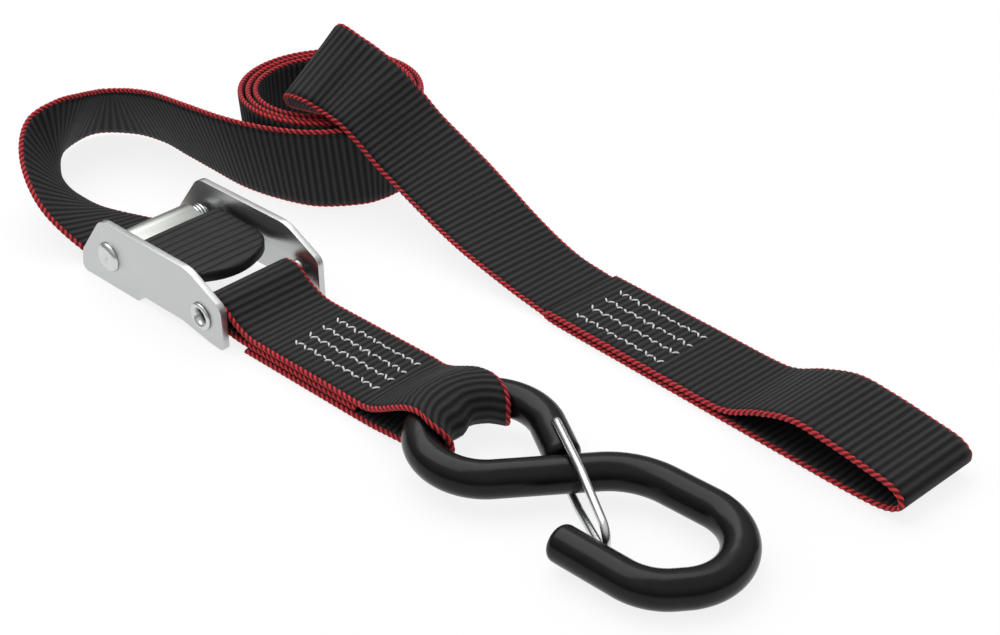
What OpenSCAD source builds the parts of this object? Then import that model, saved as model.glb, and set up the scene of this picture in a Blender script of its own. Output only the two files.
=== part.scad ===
// Cam-buckle tie-down: a webbing strap with a spring-loaded cam buckle at one end of its short
// webbing, a coated S-hook with a wire keeper, and a long webbing with a sewn soft loop.
// The strap lies on a flat surface, with its long webbing partly rolled.
// +X is along the longest extent, +Z is up, the origin is the bottom centre of the whole part.

/* [Webbing] */
// Width of both webbings
webbing_w = 25.4; // [24.6:0.2:25.8]
// Thickness of both webbings
webbing_t = 1.6; // [1.3:0.1:1.6]

/* [Buckle] */
// Width across the outside of the buckle's two side plates
buckle_w = 32.3; // [32:0.1:33]
// Sheet thickness of the buckle frame
sheet_t = 1.8; // [1.4:0.1:1.8]
// Height of the side plates
plate_h = 18.1; // [17.6:0.1:18.4]
// Distance from the cam pin to the anchor pin
pin_spacing = 36.8; // [36.4:0.1:37.6]
// Radius of the cam pin
cam_pin_r = 2.2; // [1.8:0.1:2.3]
// Outer radius of the tubular anchor pin
anchor_r = 2.3; // [2:0.1:2.3]
// Bore radius of the tubular anchor pin
anchor_bore_r = 1.7; // [1.2:0.1:1.7]

/* [Cam lever] */
// Radius of the cam's hub
hub_r = 4.6; // [4.3:0.1:4.6]
// Angle by which the thumb pad's front lies below the horizontal at rest
lever_drop = 3; // [2:0.5:4]
// Reach of the thumb pad from the cam pin
pad_reach = 32; // [31:0.1:32.5]
// Thickness of the thumb pad
pad_t = 3.3; // [3:0.1:3.3]

/* [Hook] */
// Radius of the hook's steel rod
rod_r = 3.1; // [2.8:0.1:3.1]
// Outer radius of the hook's vinyl coating
coat_r = 4.175; // [3.9:0.025:4.2]
// Centre-line radius of the hook's eye
eye_r = 14; // [13.9:0.1:14.2]
// Centre-line radius of the hook's bowl
bowl_r = 13.2; // [13:0.1:13.4]
// Length of the straight shank between eye and bowl
shank_l = 22.1; // [21.9:0.1:22.4]

/* [Keeper] */
// Radius of the keeper's wire
wire_r = 0.95; // [0.8:0.05:0.95]

/* [Roll] */
// Outer radius of the rolled webbing at its top
roll_r = 24.6; // [24:0.1:24.8]
// Radius of the hollow in the middle of the roll
roll_hole_r = 17; // [16.5:0.1:17]

/* [Hidden] */

// Places of the sub-assemblies on the surface, before the whole part is centred
centre_shift = [13.5, 2.3, 0];
buckle_place = [-105.5, 22.1, 0];
buckle_turn = -43.4;
loop_place = [11, -2, 0];
loop_turn = -47.5;
hook_place = [-1.4, -73, 6.7];
hook_turn = 6.6;
hook_tilt = 3.2;
roll_place = [-47.5, 80, 0];

half_t = webbing_t / 2;
layer = webbing_t + 0.1;
run_gap = 0.05;
base_t = 1.6;
base_l = 20;
side_gap = 0.5;
cam_at = [10.2, 0, 8.4];
anchor_at = [cam_at[0] + pin_spacing, 0, 6.9];
strap_side = (buckle_w - webbing_w) / 2;
edge_steps = 6;

// ---- Placing ----

module in_buckle() {
    translate(centre_shift + buckle_place) rotate([0, 0, buckle_turn]) children();
}

module in_hook() {
    translate(centre_shift + hook_place) rotate([0, 0, hook_turn]) rotate([hook_tilt, 0, 0]) children();
}

// An axis across the buckle becomes the local Z axis, at a point of the side plate
module across(at) {
    translate(at) rotate([-90, 0, 0]) children();
}

function turn_z(p, a) = [p[0] * cos(a) - p[1] * sin(a), p[0] * sin(a) + p[1] * cos(a), p[2]];
function turn_x(p, a) = [p[0], p[1] * cos(a) - p[2] * sin(a), p[1] * sin(a) + p[2] * cos(a)];
function buckle_point(p) = turn_z(p, buckle_turn) + buckle_place;
function loop_point(p) = turn_z(p, loop_turn) + loop_place;
function hook_point(p) = turn_z(turn_x(p, hook_tilt), hook_turn) + hook_place;

// ---- Webbing as a closed sheet of even thickness ----

function unit(v) = v / norm(v);

// Smooth curve through points, with steps places between each pair
function curve_at(p, i, t) =
    let (a = i > 0 ? p[i - 1] : 2 * p[0] - p[1])
    let (d = i + 2 < len(p) ? p[i + 2] : 2 * p[i + 1] - p[i])
    0.5 * (2 * p[i] + (p[i + 1] - a) * t
        + (2 * a - 5 * p[i] + 4 * p[i + 1] - d) * t * t
        + (3 * p[i] - a - 3 * p[i + 1] + d) * t * t * t);
function curve(p, steps) = [
    for (i = [0 : len(p) - 2]) for (k = [0 : steps - 1]) curve_at(p, i, k / steps),
    p[len(p) - 1]
];

// Rows of two points from the left and right edge, set the webbing's width apart
function ribbon_rows(left, right, steps) =
    let (a = curve(left, steps), b = curve(right, steps))
    [for (i = [0 : len(a) - 1])
        let (mid = (a[i] + b[i]) / 2, half = unit(a[i] - b[i]) * webbing_w / 2)
        [mid + half, mid - half]];

function row_normal(g, i, j) =
    let (last_i = len(g) - 1, last_j = len(g[0]) - 1)
    let (along = g[min(i + 1, last_i)][j] - g[max(i - 1, 0)][j])
    let (side = g[i][min(j + 1, last_j)] - g[i][max(j - 1, 0)])
    unit(cross(along, side));

// Closed solid that follows a grid of points, half its thickness to each side
module sheet_solid(g, thickness) {
    n = len(g);
    m = len(g[0]);
    upper = [for (i = [0 : n - 1]) for (j = [0 : m - 1]) g[i][j] + row_normal(g, i, j) * thickness / 2];
    lower = [for (i = [0 : n - 1]) for (j = [0 : m - 1]) g[i][j] - row_normal(g, i, j) * thickness / 2];
    low = n * m;
    faces = concat(
        [for (i = [0 : n - 2]) for (j = [0 : m - 2]) for (f = [0, 1])
            let (a = i * m + j, b = a + 1, c = a + m, d = c + 1)
            f == 0 ? [a, b, c] : [b, d, c]],
        [for (i = [0 : n - 2]) for (j = [0 : m - 2]) for (f = [0, 1])
            let (a = low + i * m + j, b = a + 1, c = a + m, d = c + 1)
            f == 0 ? [a, c, b] : [b, c, d]],
        [for (i = [0 : n - 2]) for (f = [0, 1])
            let (a = i * m, c = a + m)
            f == 0 ? [a, c, low + a] : [c, low + c, low + a]],
        [for (i = [0 : n - 2]) for (f = [0, 1])
            let (a = i * m + m - 1, c = a + m)
            f == 0 ? [a, low + a, c] : [c, low + a, low + c]],
        [for (j = [0 : m - 2]) for (f = [0, 1])
            let (b = j + 1)
            f == 0 ? [j, low + j, b] : [b, low + j, low + b]],
        [for (j = [0 : m - 2]) for (f = [0, 1])
            let (a = (n - 1) * m + j, b = a + 1)
            f == 0 ? [a, b, low + a] : [b, low + b, low + a]]
    );
    polyhedron(points = concat(upper, lower), faces = faces);
}

// Round rod swept along a list of points that lie close together, with a radius for each point;
// no stretch of it runs along the direction ref
module swept_rod(path, radii, sides, ref) {
    n = len(path);
    function way(i) = unit(path[min(i + 1, n - 1)] - path[max(i - 1, 0)]);
    function out(i) = unit(cross(way(i), ref));
    points = [for (i = [0 : n - 1]) for (k = [0 : sides - 1])
        let (a = 360 * k / sides)
        path[i] + radii[i] * (cos(a) * out(i) + sin(a) * cross(way(i), out(i)))];
    faces = concat(
        [[for (k = [0 : sides - 1]) k]],
        [for (i = [0 : n - 2]) for (k = [0 : sides - 1]) for (f = [0, 1])
            let (a = i * sides + k, b = i * sides + (k + 1) % sides)
            f == 0 ? [a, b + sides, b] : [a, a + sides, b + sides]],
        [[for (k = [0 : sides - 1]) (n - 1) * sides + sides - 1 - k]]
    );
    polyhedron(points = points, faces = faces);
}

module wire(path, r, sides) {
    swept_rod(path, [for (p = path) r], sides, [0, 1, 0.01]);
}

// ---- Outline with rounded corners: each corner is [x, y, radius] ----

function corner_arc(a, p, b, steps) =
    let (r = p[2], here = [p[0], p[1]])
    let (u = unit([a[0], a[1]] - here), v = unit([b[0], b[1]] - here))
    let (half = acos(u * v) / 2, back = r / tan(half))
    let (mid = here + unit(u + v) * r / sin(half))
    let (start = here + u * back - mid, end = here + v * back - mid)
    let (span = 180 - 2 * half, way = start[0] * end[1] - start[1] * end[0] > 0 ? 1 : -1)
    [for (k = [0 : steps])
        let (q = turn_z([start[0], start[1], 0], way * span * k / steps))
        mid + [q[0], q[1]]];
function rounded(corners, steps) = [
    for (i = [0 : len(corners) - 1])
        let (n = len(corners))
        each corner_arc(corners[(i + n - 1) % n], corners[i], corners[(i + 1) % n], steps)
];

// ---- Buckle ----

side_corners = [
    [-2.6, 0, 1.6],
    [-1.6, 6, 5],
    [8, plate_h, 5],
    [43, plate_h, 10],
    [54.8, 12, 3],
    [54.8, 0, 1.4],
    [49.5, 0.4, 4],
    [39, 2.3, 4],
    [23.5, 2.3, 0.8],
    [21, 0, 0.8]
];
head_r = 4;
head_h = 1.2;
flare_r = 3.6;
flare_t = 0.7;

module side_plate(v) {
    translate([0, v + sheet_t, 0]) rotate([90, 0, 0]) linear_extrude(sheet_t)
        polygon(rounded(side_corners, 8));
}

module buckle_frame() color("silver") in_buckle() {
    difference() {
        union() {
            side_plate(0);
            side_plate(buckle_w - sheet_t);
            translate([2, sheet_t / 2, 0]) cube([base_l - 2, buckle_w - sheet_t, base_t]);
        }
        across([cam_at[0], -1, cam_at[2]]) cylinder(h = buckle_w + 2, r = cam_pin_r, $fn = 48);
        across([anchor_at[0], -1, anchor_at[2]]) cylinder(h = buckle_w + 2, r = anchor_r, $fn = 48);
    }
}

// Half outline of a low domed rivet head that starts at height 0
function dome(r, h, steps) = [for (k = [0 : steps]) [r * cos(90 * k / steps), h * sin(90 * k / steps)]];

module cam_pin() color("gainsboro") in_buckle() across([cam_at[0], 0, cam_at[2]]) {
    cylinder(h = buckle_w, r = cam_pin_r, $fn = 48);
    translate([0, 0, buckle_w]) rotate_extrude($fn = 48)
        polygon(concat([[0, 0]], dome(head_r, head_h, 8)));
    rotate([180, 0, 0]) rotate_extrude($fn = 48)
        polygon(concat([[0, 0]], dome(head_r, head_h, 8)));
}

// Tube with its two ends rolled out flat against the side plates
module anchor_pin() color("gainsboro") in_buckle() across([anchor_at[0], 0, anchor_at[2]]) {
    end = buckle_w + flare_t;
    mouth_r = anchor_bore_r + 0.7;
    rotate_extrude($fn = 48) polygon([
        [anchor_bore_r, 1.2], [mouth_r, -flare_t], [flare_r, -flare_t], [flare_r, 0], [anchor_r, 0],
        [anchor_r, buckle_w], [flare_r, buckle_w], [flare_r, end], [mouth_r, end],
        [anchor_bore_r, buckle_w - 1.2]
    ]);
}

// ---- Cam lever, thumb pad and spring; their local X runs along the lever from the cam pin ----

hub_l = buckle_w - 2 * sheet_t - 2 * side_gap;
spring_l = 4.2;
tooth_h = 0.2;
tooth_from = 102;
tooth_to = 150;
tooth_step = 12;
pad_bottom = 3.2;
pad_top = pad_bottom + pad_t;
pad_start = 7.5;
pad_inset = 0.5;
pad_w = hub_l - 2 * pad_inset;
pad_nose = 9;
blade_t = 1.2;
blade_reach = 28;
blade_w = pad_w - 4;

module on_lever() {
    in_buckle() translate([cam_at[0], sheet_t + side_gap, cam_at[2]]) rotate([0, lever_drop, 0]) children();
}

// Plan outline of a tongue as wide as w, from x = a to a round nose that ends at x = b
module tongue(a, b, w, nose, h) {
    linear_extrude(h) polygon(concat(
        [[a, w], [a, 0]],
        [for (k = [0 : 24])
            let (t = -90 + 180 * k / 24)
            [b - nose + nose * cos(t), w / 2 + w / 2 * sin(t)]]
    ));
}

// Round cam with a few low ridges that bite the strap
module cam_outline() {
    polygon([for (a = [0 : 3 : 357])
        let (ridge = a >= tooth_from && a <= tooth_to && (a - tooth_from) % tooth_step == 0)
        (hub_r + (ridge ? tooth_h : 0)) * [cos(a), sin(a)]]);
}

module cam_lever() color("lightgray") on_lever() {
    difference() {
        union() {
            rotate([-90, 0, 0]) linear_extrude(hub_l - spring_l) cam_outline();
            translate([0, pad_inset + 2, pad_bottom])
                tongue(0, blade_reach, blade_w, pad_nose - 2, blade_t);
        }
        translate([0, -1, 0]) rotate([-90, 0, 0])
            cylinder(h = hub_l + 2, r = cam_pin_r + run_gap, $fn = 48);
        translate([-hub_r - 1, hub_l - spring_l, -hub_r - 1])
            cube([hub_r + 1 + pad_start - 1, spring_l + 1, 2 * hub_r + 2]);
    }
}

rib_pitch = 2.4;
rib_h = 0.35;
module thumb_pad() color("darkslategray") on_lever() {
    difference() {
        translate([0, pad_inset, pad_bottom]) tongue(pad_start, pad_reach, pad_w, pad_nose, pad_t - rib_h);
        translate([-1, pad_inset + 2 - run_gap, pad_bottom - 1])
            tongue(0, blade_reach + run_gap + 1, blade_w + 2 * run_gap, pad_nose - 2, blade_t + 1 + run_gap);
    }
    for (x = [pad_start + 1 : rib_pitch : pad_reach - pad_nose])
        translate([x, pad_inset + 0.6, pad_top - rib_h]) cube([rib_pitch / 2, pad_w - 1.2, rib_h]);
}

// Torsion spring round the cam pin, with one leg down to the frame and one under the pad
spring_wire_r = 0.4;
spring_r = 3.2;
spring_turns = 3;
module cam_spring() color("whitesmoke") on_lever() {
    steps = 12 * spring_turns;
    start = hub_l - spring_l + 0.7;
    rise = spring_l - 1.4;
    coil = [for (k = [0 : steps])
        [spring_r * cos(30 * k + 180), start + rise * k / steps, spring_r * sin(30 * k + 180)]];
    leg_end = [[-3.3, start + rise, -2], [-3.9, start + rise, -4], [-4.4, start + rise, -5.3]];
    wire(concat([[-3, start, 1.6]], coil, leg_end), spring_wire_r, 8);
}

// ---- Hook webbing: one strap, from its hidden start, round the anchor pin and the hook's eye ----

pin_turn_r = anchor_r + 0.1 + half_t;
rod_turn_r = coat_r + 0.3 + half_t;
low_z = half_t;
mid_z = low_z + layer;
top_z = mid_z + layer;
near_v = 3.1;
sewn_start = 60;
sewn_end = 97;
columns = 7;
// Stretch of the eye that the webbing covers, as angles in the hook's plane: above and below the
// rod, and how much more of it is covered inside the eye, where the webbing gathers
wrap_from = 172;
wrap_to = 73;
wrap_more_from = 36;
wrap_more_to = -28;

function span(j) = j / (columns - 1);
function flat_row(u, w, slip) = [for (j = [0 : columns - 1])
    buckle_point([u, near_v + slip + webbing_w * span(j), w])];
function wrap_row(rise) = [for (j = [0 : columns - 1])
    let (from = wrap_from + wrap_more_from * cos(rise), to = wrap_to + wrap_more_to * cos(rise))
    let (a = from + (to - from) * span(j))
    let (r = eye_r - rod_turn_r * cos(rise))
    hook_point([r * cos(a), eye_r + r * sin(a), rod_turn_r * sin(rise)])];
function blend_row(a, b, t) = [for (j = [0 : columns - 1]) a[j] * (1 - t) + b[j] * t];

// Rising rows between the flat stretch and the rod, eased at both ends
function rise_rows(flat, wrap, ts) = [for (t = ts)
    let (e = t * t * (3 - 2 * t), row = blend_row(flat, wrap, t))
    [for (j = [0 : columns - 1])
        [row[j][0], row[j][1], flat[j][2] * (1 - e) + wrap[j][2] * e]]];

hook_rows = concat(
    [for (u = [sewn_end, 85, 72, 62, 57]) flat_row(u, mid_z, 0)],
    [flat_row(53, mid_z + 0.4, 0)],
    [for (a = [-80 : -20 : -260]) flat_row(anchor_at[0] + pin_turn_r * cos(a),
        anchor_at[2] + pin_turn_r * sin(a), 0)],
    [flat_row(50, 9.9, 0), flat_row(53, 7.9, 0), flat_row(56, 6, 0), flat_row(sewn_start, 4.5, 0)],
    [for (u = [65, 75, 86, sewn_end]) flat_row(u, top_z, 0)],
    rise_rows(flat_row(sewn_end + 1, top_z, 0), wrap_row(90), [0.15, 0.3, 0.45, 0.6, 0.75, 0.9]),
    [for (rise = [90 : -18 : -90]) wrap_row(rise)],
    rise_rows(flat_row(sewn_end + 1, low_z, -0.4), wrap_row(-90), [0.85, 0.65, 0.45, 0.25]),
    [for (u = [sewn_end, 85, 72, 59]) flat_row(u, low_z, -0.4)]
);

module hook_webbing() color([0.12, 0.12, 0.13]) translate(centre_shift) sheet_solid(hook_rows, webbing_t);

// Rows of short raised stitches, as flat lozenges on top of the sewn layers
stitch_l = 2.6;
stitch_w = 0.9;
stitch_h = 0.35;
module stitch_rows(x0, x1, y0, y1, rows, per_row, top) {
    for (r = [0 : rows - 1]) for (k = [0 : per_row - 1]) {
        x = x0 + (x1 - x0) * k / (per_row - 1);
        y = y0 + (y1 - y0) * r / (rows - 1);
        translate([x, y, top]) linear_extrude(stitch_h) polygon([
            [-stitch_l / 2, 0], [0, -stitch_w / 2], [stitch_l / 2, 0], [0, stitch_w / 2]
        ]);
    }
}

module hook_stitching() color("white") in_buckle()
    stitch_rows(70, 96, near_v + 7, near_v + 20, 4, 9, top_z + half_t + 0.02);

// ---- S-hook; its local XY plane is the hook's plane, its origin where the eye meets the shank ----

end_turn = 9;
end_l = 10.7;
tip_turn = 47;
tip_l = 15.6;
cap_h = 1.1;
shoulder_r = 19;
shoulder_turn = 46;
shoulder_l = 10.6;
bottom_l = 2.4;

function heading(a) = [cos(a), sin(a), 0];
function arc_points(centre, r, a, b, steps) = [for (k = [0 : steps]) centre + r * heading(a + (b - a) * k / steps)];

// Centres of the rod's bends and the ends of its straights, along the rod from the eye to the tip
eye_centre = [0, eye_r, 0];
eye_leaves = eye_centre + eye_r * heading(end_turn);
shoulder_centre = [shank_l, -shoulder_r, 0];
shoulder_leaves = shoulder_centre + shoulder_r * heading(90 - shoulder_turn);
bowl_centre = shoulder_leaves + shoulder_l * heading(-shoulder_turn) + bowl_r * heading(-90 - shoulder_turn);
corner_centre = bowl_centre - [bottom_l, 0, 0];
corner_leaves = corner_centre + bowl_r * heading(-90 - tip_turn);

// Distances from the rod's end at which its rounded edge is drawn, as shares of the edge's radius
edge_shares = [0, 0.12, 0.35, 0.65, 1];
function edge_radius(r, edge, share) = r - edge + edge * sqrt(1 - (1 - share) * (1 - share));

module hook_rod(r, spare, edge, sides) {
    last = len(edge_shares) - 1;
    start = [for (s = edge_shares) eye_leaves + (end_l + spare - edge * s) * heading(end_turn - 90)];
    end = [for (i = [last : -1 : 0])
        corner_leaves + (tip_l + spare - edge * edge_shares[i]) * heading(180 - tip_turn)];
    middle = concat(
        arc_points(eye_centre, eye_r, end_turn, 270, 24),
        arc_points(shoulder_centre, shoulder_r, 90, 90 - shoulder_turn, 5),
        arc_points(bowl_centre, bowl_r, 90 - shoulder_turn, -90, 13),
        arc_points(corner_centre, bowl_r, -90, -90 - tip_turn, 5)
    );
    radii = concat(
        [for (s = edge_shares) edge_radius(r, edge, s)],
        [for (p = middle) r],
        [for (i = [last : -1 : 0]) edge_radius(r, edge, edge_shares[i])]
    );
    swept_rod(concat(start, middle, end), radii, sides, [0, 0, 1]);
}

// The keeper turns in the rod's end at this point; its wire ends sit one to each side of it
gate_at = [14.2, 13.8, 0];
gate_turn = -80.5;
gate_reach = 36;
gate_open = 27;
wire_gap = 0.15;
pin_offset = 2.1;
leg_z = coat_r + wire_r + 0.275;
bow_r = 3.6;
pin_depth = 1;

module in_gate(opening) {
    translate(gate_at) rotate([0, 0, gate_turn + opening]) children();
}

// Short curved slots that the keeper's wire ends move in
module keeper_slots() {
    for (a = [0 : gate_open / 3 : gate_open]) in_gate(a) {
        translate([pin_offset, 0, -pin_depth - 0.3]) cylinder(h = 10, r = wire_r + wire_gap, $fn = 16);
        translate([-pin_offset, 0, pin_depth + 0.3 - 10]) cylinder(h = 10, r = wire_r + wire_gap, $fn = 16);
    }
}

module s_hook() color("gray") in_hook() {
    difference() {
        hook_rod(rod_r, 0, 0.3, 16);
        keeper_slots();
    }
}

module hook_coating() color([0.08, 0.08, 0.09]) in_hook() {
    difference() {
        hook_rod(coat_r, cap_h, 2, 24);
        hook_rod(rod_r + run_gap, 0.1, 0.3, 16);
        keeper_slots();
    }
}

// One half of the wire's path, as [along, height]: its pin, a leg beside the shank, and half the bow
bend_r = 1.4;
straight_to = 19.5;
bow_at = gate_reach - bow_r;
function gate_half(pin_x) = concat(
    [[pin_x, -pin_depth]],
    corner_arc([pin_x, -pin_depth], [pin_x, leg_z, bend_r], [straight_to, leg_z], 5),
    corner_arc([pin_x, leg_z], [straight_to, leg_z, 3 * bend_r], [bow_at, bow_r], 3),
    [for (a = [90 : -15 : 15]) [bow_at + bow_r * cos(a), bow_r * sin(a)]]
);

// Bent wire: a pin into the rod, a leg over the shank, a bow, and a leg and pin on the other side
module keeper_gate() color("gainsboro") in_hook() in_gate(0) {
    upper = gate_half(pin_offset);
    lower = gate_half(-pin_offset);
    wire(concat(
        [for (p = upper) [p[0], 0, p[1]]],
        [[gate_reach, 0, 0]],
        [for (i = [len(lower) - 1 : -1 : 0]) [lower[i][0], 0, -lower[i][1]]]
    ), wire_r, 12);
}

// ---- Long webbing: tail from the buckle, roll, bend out of the roll, run and soft loop ----

slot_v = strap_side;
slot_w = base_t + 0.1 + half_t;
slot_from = 20;
slot_to = -1.5;
module long_strap_slot() color([0.12, 0.12, 0.13]) in_buckle()
    translate([slot_to, slot_v, slot_w - half_t]) cube([slot_from - slot_to, webbing_w, webbing_t]);

tail_left = concat(
    [buckle_point([slot_to, slot_v, slot_w])],
    [[-108, 27, 4], [-119, 34.5, 12], [-126, 47.5, 19], [-127, 60.5, 24], [-121.5, 70.5, 25.2],
     [-116.5, 78.5, 23.7], [-113.5, 84.5, 21.8], [-111.5, 87, 21], [-108, 86.5, 21.2], [-103.5, 84, 22.3],
     [-96.5, 79.5, 23.4], [-86.5, 71, 24.3], [-75, 62, 24.9], [-63, 55.5, 25.2], [-51, 52.3, 25.4],
     [-40, 53.8, 25.5]]
);
tail_right = concat(
    [buckle_point([slot_to, slot_v + webbing_w, slot_w])],
    [[-91.5, 45.5, 1.8], [-107, 52.5, 1.3], [-115.5, 59.5, 1.1], [-120.5, 65, 0.8], [-124, 71, 0.6],
     [-126.5, 78, 0.7], [-126.5, 89.5, 0.8], [-120, 100, 0.8], [-108, 100.5, 0.8], [-98, 95, 0.7],
     [-89.5, 86.5, 0.5], [-80.5, 77, 0.45], [-71, 67.5, 0.3], [-60.5, 60.5, 0.2], [-49.7, 56.3, 0.2],
     [-38.2, 57.3, 0.2]]
);

module long_strap_tail() color([0.12, 0.12, 0.13]) translate(centre_shift)
    sheet_solid(ribbon_rows(tail_left, tail_right, edge_steps), webbing_t);

roll_foot_r = roll_r - 2;
module long_strap_roll() color([0.45, 0.1, 0.12]) translate(centre_shift + roll_place) {
    difference() {
        cylinder(h = webbing_w, r1 = roll_foot_r, r2 = roll_r, $fn = 96);
        translate([0, 0, -1]) cylinder(h = webbing_w + 2, r = roll_hole_r, $fn = 96);
    }
}

bend_left = [[-30.6, 75.5, 26.2], [-31.8, 84, 26.4], [-38, 89.5, 28.5], [-41.5, 86.5, 32.5], [-43, 82, 37],
    [-44.5, 78.5, 42], [-42.5, 76.5, 45], [-38, 74.5, 43]];
bend_right = [[-30.6, 75.5, 0.8], [-31.4, 84.5, 1.2], [-37.5, 92, 3.4], [-46, 92.5, 8.5], [-54, 86, 14.5],
    [-58, 74, 22.5], [-57.5, 64, 29.5], [-52.5, 57.5, 31]];
module long_strap_bend() color([0.12, 0.12, 0.13]) translate(centre_shift)
    sheet_solid(ribbon_rows(bend_left, bend_right, edge_steps), webbing_t);

run_left = [[-37.8, 74.4, 42.9], [-33, 72.5, 40], [-26, 69, 35.5], [-20.7, 66, 30], [-15.5, 62.5, 25],
    [-9.3, 57.5, 20.6], [-3, 51, 16.7], [3.2, 44, 12.7], [9, 37.5, 8.8], [15, 31, 5.2], [21, 24.6, 2.5],
    [28, 17.5, 1.2], loop_point([-1.2, webbing_w, low_z])];
run_right = [[-52.3, 57.4, 30.9], [-48, 55.5, 29.2], [-43, 52, 27], [-38, 49, 23], [-33.3, 45.4, 18.5],
    [-28.2, 41.2, 14.7], [-22.6, 35.5, 11.5], [-16.7, 28.5, 8.9], [-10.4, 21, 6.7], [-3.5, 13.5, 4.8],
    [3.7, 6.3, 2.8], [10, 0, 1.3], loop_point([-1.2, 0, low_z])];
module long_strap_run() color([0.12, 0.12, 0.13]) translate(centre_shift)
    sheet_solid(ribbon_rows(run_left, run_right, edge_steps), webbing_t);

// Side view of the soft loop, as distance along the strap and height
loop_side = [[-1, low_z], [25, low_z], [50, low_z], [75, low_z + 0.03], [90, low_z + 0.1], [101, 1.7], [105, 4.4],
    [102.5, 7.4], [95, 8.7], [84, 10], [75, 10.2], [66, 7.2], [58, 3.4], [51, mid_z], [35, mid_z],
    [18, mid_z], [0, mid_z]];
loop_left = [for (p = loop_side) loop_point([p[0], webbing_w, p[1]])];
loop_right = [for (p = loop_side) loop_point([p[0], 0, p[1]])];
module long_strap_loop() color([0.12, 0.12, 0.13]) translate(centre_shift)
    sheet_solid(ribbon_rows(loop_left, loop_right, edge_steps), webbing_t);

module loop_stitching() color("white") translate(centre_shift + loop_place) rotate([0, 0, loop_turn])
    stitch_rows(7, 34, 4.5, 19.5, 4, 9, mid_z + half_t + 0.02);

buckle_frame();
cam_lever();
thumb_pad();
cam_pin();
cam_spring();
anchor_pin();
hook_webbing();
hook_stitching();
s_hook();
hook_coating();
keeper_gate();
long_strap_slot();
long_strap_tail();
long_strap_roll();
long_strap_bend();
long_strap_run();
long_strap_loop();
loop_stitching();
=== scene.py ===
"""Looks of the cam-buckle tie-down: webbing, buckle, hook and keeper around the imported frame."""

import math

import bmesh
import bpy
import numpy as np
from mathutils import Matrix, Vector


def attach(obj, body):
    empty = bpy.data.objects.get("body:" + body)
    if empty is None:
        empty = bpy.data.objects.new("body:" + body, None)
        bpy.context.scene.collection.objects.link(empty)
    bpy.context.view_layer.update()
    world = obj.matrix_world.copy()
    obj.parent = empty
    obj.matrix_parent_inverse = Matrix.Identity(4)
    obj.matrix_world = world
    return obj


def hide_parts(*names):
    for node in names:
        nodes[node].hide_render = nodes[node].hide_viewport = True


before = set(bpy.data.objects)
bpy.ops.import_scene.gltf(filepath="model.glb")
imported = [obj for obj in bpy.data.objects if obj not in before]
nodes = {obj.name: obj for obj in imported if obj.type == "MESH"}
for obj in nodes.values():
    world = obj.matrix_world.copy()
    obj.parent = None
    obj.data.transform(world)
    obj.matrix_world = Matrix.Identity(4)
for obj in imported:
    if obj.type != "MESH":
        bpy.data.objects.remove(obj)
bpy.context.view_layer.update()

MM = 0.001
UP = np.array([0.0, 0.0, 1.0])

# ---- Placing: the same sub-assembly places as the CAD model, in millimetres ----

CENTRE_SHIFT = np.array([13.5, 2.3, 0.0])
BUCKLE_PLACE, BUCKLE_TURN = np.array([-105.5, 22.1, 0.0]), -43.4
LOOP_PLACE, LOOP_TURN = np.array([11.0, -2.0, 0.0]), -47.5
HOOK_PLACE, HOOK_TURN, HOOK_TILT = np.array([-1.4, -73.0, 6.7]), 6.6, 3.2
ROLL_PLACE = np.array([-47.5, 80.0, 0.0])


def turned(axis, degrees):
    """Rotation matrix about X (0), Y (1) or Z (2)."""
    c, s = math.cos(math.radians(degrees)), math.sin(math.radians(degrees))
    rows = {0: [[1, 0, 0], [0, c, -s], [0, s, c]],
            1: [[c, 0, s], [0, 1, 0], [-s, 0, c]],
            2: [[c, -s, 0], [s, c, 0], [0, 0, 1]]}
    return np.array(rows[axis], float)


BUCKLE_ROTATION = turned(2, BUCKLE_TURN)
LOOP_ROTATION = turned(2, LOOP_TURN)
HOOK_ROTATION = turned(2, HOOK_TURN) @ turned(0, HOOK_TILT)


def in_buckle(points):
    return np.asarray(points, float) @ BUCKLE_ROTATION.T + BUCKLE_PLACE


def in_loop(points):
    return np.asarray(points, float) @ LOOP_ROTATION.T + LOOP_PLACE


def in_hook(points):
    return np.asarray(points, float) @ HOOK_ROTATION.T + HOOK_PLACE


# ---- Curves and vectors ----

def unit(v):
    return v / np.maximum(np.linalg.norm(v, axis=-1, keepdims=True), 1e-9)


def smooth_curve(points, steps):
    """Catmull-Rom curve through points, as the CAD model draws it."""
    p = np.asarray(points, float)
    p = np.concatenate([[2 * p[0] - p[1]], p, [2 * p[-1] - p[-2]]])
    t = (np.arange(steps) / steps)[:, None]
    made = []
    for a, b, c, d in zip(p[:-3], p[1:-2], p[2:-1], p[3:]):
        made.append(0.5 * (2 * b + (c - a) * t + (2 * a - 5 * b + 4 * c - d) * t ** 2
                           + (3 * b - a - 3 * c + d) * t ** 3))
    return np.concatenate(made + [p[-2:-1]])


def lengths_along(line):
    return np.concatenate([[0], np.cumsum(np.linalg.norm(np.diff(line, axis=0), axis=1))])


def resampled(grid, step):
    """Rows of a grid spaced evenly along its middle line; returns the grid and each row's distance."""
    middle = grid.mean(axis=1)
    s = lengths_along(middle)
    even = np.linspace(0, s[-1], max(2, int(round(s[-1] / step)) + 1))
    flat = grid.reshape(len(grid), -1)
    made = np.stack([np.interp(even, s, flat[:, k]) for k in range(flat.shape[1])], axis=1)
    return made.reshape(len(even), *grid.shape[1:]), even


def spread(grid, columns):
    """The same cloth, given as its two edges, with more columns across."""
    t = np.linspace(0, 1, columns)[None, :, None]
    return grid[:, :1] * (1 - t) + grid[:, 1:] * t


def cloth_normals(grid):
    along = np.gradient(grid, axis=0)
    across = np.gradient(grid, axis=1)
    return unit(np.cross(along, across))


# ---- Building meshes ----

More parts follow.
